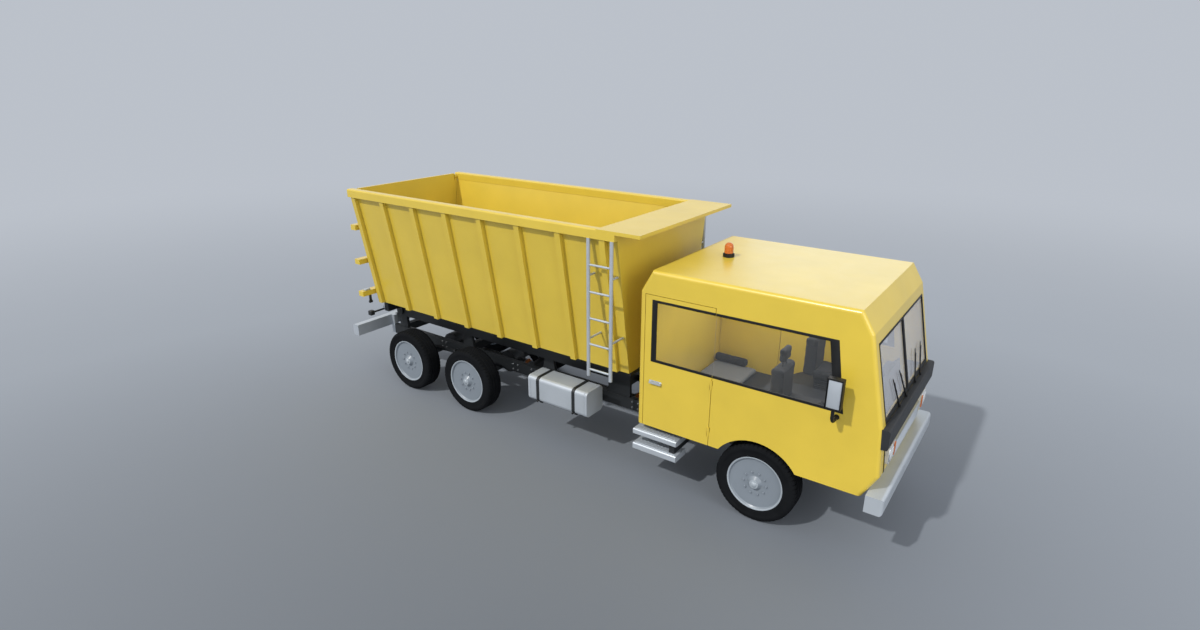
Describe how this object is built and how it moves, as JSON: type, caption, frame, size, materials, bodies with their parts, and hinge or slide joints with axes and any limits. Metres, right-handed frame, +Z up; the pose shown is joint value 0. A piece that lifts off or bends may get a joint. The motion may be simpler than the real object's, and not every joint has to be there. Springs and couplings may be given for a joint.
{
  "type": "dump truck",
  "caption": "Tandem-axle dump truck: cab over the front axle, ribbed tipping bed on a rear hinge with an under-body hoist, top-hung tailgate, steered front wheels.",
  "frame": {"origin": "on the ground under the middle of the truck's box", "axes": "+X forward, +Y to the truck's left, +Z up"},
  "size_m": [9.29, 2.81, 3.442],
  "materials": {
    "yellow_paint": "satin yellow enamel",
    "black_paint": "satin black chassis paint",
    "grey_steel": "dull drive line steel",
    "cast_mass": "cast engine block",
    "silver_metal": "smooth pale aluminium",
    "dark_plastic": "grained dark plastic",
    "black_trim": "black plastic",
    "lamp_glass": "clear lamp lens",
    "red_lens": "red lamp lens",
    "amber_lens": "amber lens",
    "tinted_glass": "tinted safety glass",
    "seat_cloth": "woven seat cloth",
    "bunk_cloth": "grey mattress cloth",
    "tyre_rubber": "black tyre rubber",
    "wheel_silver": "silver wheel paint"
  },
  "bodies": {
    "chassis": {"chassis_rails": "black_paint", "cross_members": "black_paint", "subframe": "black_paint", "frame_brackets": "black_paint", "axles": "black_paint", "leaf_springs": "black_paint", "engine": "cast_mass", "drive_shafts": "grey_steel", "fuel_tanks": "silver_metal", "cab_steps": "silver_metal", "front_bumper": "silver_metal", "rear_bar": "silver_metal", "tail_lamps": "red_lens", "cab_floor": "dark_plastic", "cab_rear_wall": "yellow_paint", "cab_sides": "yellow_paint", "cab_front": "yellow_paint", "cab_roof": "yellow_paint", "cab_glass": "tinted_glass", "front_bar": "dark_plastic", "grille": "silver_metal", "headlamps": "lamp_glass", "wipers": "black_trim", "mirrors": "black_trim", "beacon_base": "black_trim", "beacon_lens": "amber_lens", "seats": "seat_cloth", "bunk": "bunk_cloth", "dashboard": "dark_plastic"},
    "bed": {"bed_underframe": "black_paint", "bed_floor": "yellow_paint", "bed_sides": "yellow_paint", "bed_front": "yellow_paint", "ladders": "silver_metal", "gate_hooks": "black_paint"},
    "gate": {"tailgate": "yellow_paint"},
    "hoist_tube": {"hoist_barrel": "black_paint"},
    "hoist_ram": {"hoist_rod": "grey_steel"},
    "steering_rod": {"tie_rod": "black_paint"},
    "left_door": {"door_left": "yellow_paint", "door_glass_left": "tinted_glass", "door_handle_left": "silver_metal"},
    "left_knuckle": {"knuckle_left": "black_paint"},
    "front_left_wheel": {"tyre_front_left": "tyre_rubber", "rim_front_left": "wheel_silver"},
    "middle_left_wheel": {"tyre_middle_left": "tyre_rubber", "rim_middle_left": "wheel_silver"},
    "rear_left_wheel": {"tyre_rear_left": "tyre_rubber", "rim_rear_left": "wheel_silver"},
    "right_door": {"door_right": "yellow_paint", "door_glass_right": "tinted_glass", "door_handle_right": "silver_metal"},
    "right_knuckle": {"knuckle_right": "black_paint"},
    "front_right_wheel": {"tyre_front_right": "tyre_rubber", "rim_front_right": "wheel_silver"},
    "middle_right_wheel": {"tyre_middle_right": "tyre_rubber", "rim_middle_right": "wheel_silver"},
    "rear_right_wheel": {"tyre_rear_right": "tyre_rubber", "rim_rear_right": "wheel_silver"}
  },
  "joints": [
    {"name": "bed_tip", "type": "hinge", "parent": "chassis", "child": "bed", "pos_m": [-4.195, 0, 1.09], "axis": [0, -1, 0], "range_deg": [0, 48]},
    {"name": "tailgate_swing", "type": "hinge", "parent": "bed", "child": "gate", "pos_m": [-4.232, 0, 3.376], "axis": [0, 1, 0], "range_deg": [0, 70]},
    {"name": "hoist_tilt", "type": "hinge", "parent": "chassis", "child": "hoist_tube", "pos_m": [-1.115, 0, 0.88], "axis": [0, 1, 0], "range_deg": [0, 8.66]},
    {"name": "hoist_extend", "type": "slide", "parent": "hoist_tube", "child": "hoist_ram", "axis": [-0.9878, 0, 0.1555], "range_m": [0, 0.4647]},
    {"name": "door_left_swing", "type": "hinge", "parent": "chassis", "child": "left_door", "pos_m": [2.495, 1.167, 1.5], "axis": [0, 0, -1], "range_deg": [0, 70]},
    {"name": "steer_left", "type": "hinge", "parent": "chassis", "child": "left_knuckle", "pos_m": [3.135, 0.8, 0.524], "axis": [0, 0, 1], "range_deg": [-35, 35]},
    {"name": "spin_front_left", "type": "hinge", "parent": "left_knuckle", "child": "front_left_wheel", "pos_m": [3.135, 0.99, 0.524], "axis": [0, 1, 0], "continuous": true},
    {"name": "spin_middle_left", "type": "hinge", "parent": "chassis", "child": "middle_left_wheel", "pos_m": [-1.865, 0.99, 0.524], "axis": [0, 1, 0], "continuous": true},
    {"name": "spin_rear_left", "type": "hinge", "parent": "chassis", "child": "rear_left_wheel", "pos_m": [-3.293, 0.99, 0.524], "axis": [0, 1, 0], "continuous": true},
    {"name": "door_right_swing", "type": "hinge", "parent": "chassis", "child": "right_door", "pos_m": [2.495, -1.167, 1.5], "axis": [0, 0, 1], "range_deg": [0, 70]},
    {"name": "steer_right", "type": "hinge", "parent": "chassis", "child": "right_knuckle", "pos_m": [3.135, -0.8, 0.524], "axis": [0, 0, 1], "range_deg": [-35, 35]},
    {"name": "spin_front_right", "type": "hinge", "parent": "right_knuckle", "child": "front_right_wheel", "pos_m": [3.135, -0.99, 0.524], "axis": [0, 1, 0], "continuous": true},
    {"name": "spin_middle_right", "type": "hinge", "parent": "chassis", "child": "middle_right_wheel", "pos_m": [-1.865, -0.99, 0.524], "axis": [0, 1, 0], "continuous": true},
    {"name": "spin_rear_right", "type": "hinge", "parent": "chassis", "child": "rear_right_wheel", "pos_m": [-3.293, -0.99, 0.524], "axis": [0, 1, 0], "continuous": true},
    {"name": "tie_rod_swing", "type": "hinge", "parent": "left_knuckle", "child": "steering_rod", "pos_m": [2.935, 0.8, 0.406], "axis": [0, 0, 1], "range_deg": [-35, 35]}
  ],
  "couplings": [
    {"joint": "hoist_tilt", "follows": "bed_tip", "ratio": 0.18016},
    {"joint": "hoist_extend", "follows": "bed_tip", "m_per_rad": 0.55448},
    {"joint": "steer_right", "follows": "steer_left", "ratio": 1},
    {"joint": "tie_rod_swing", "follows": "steer_left", "ratio": -1}
  ]
}
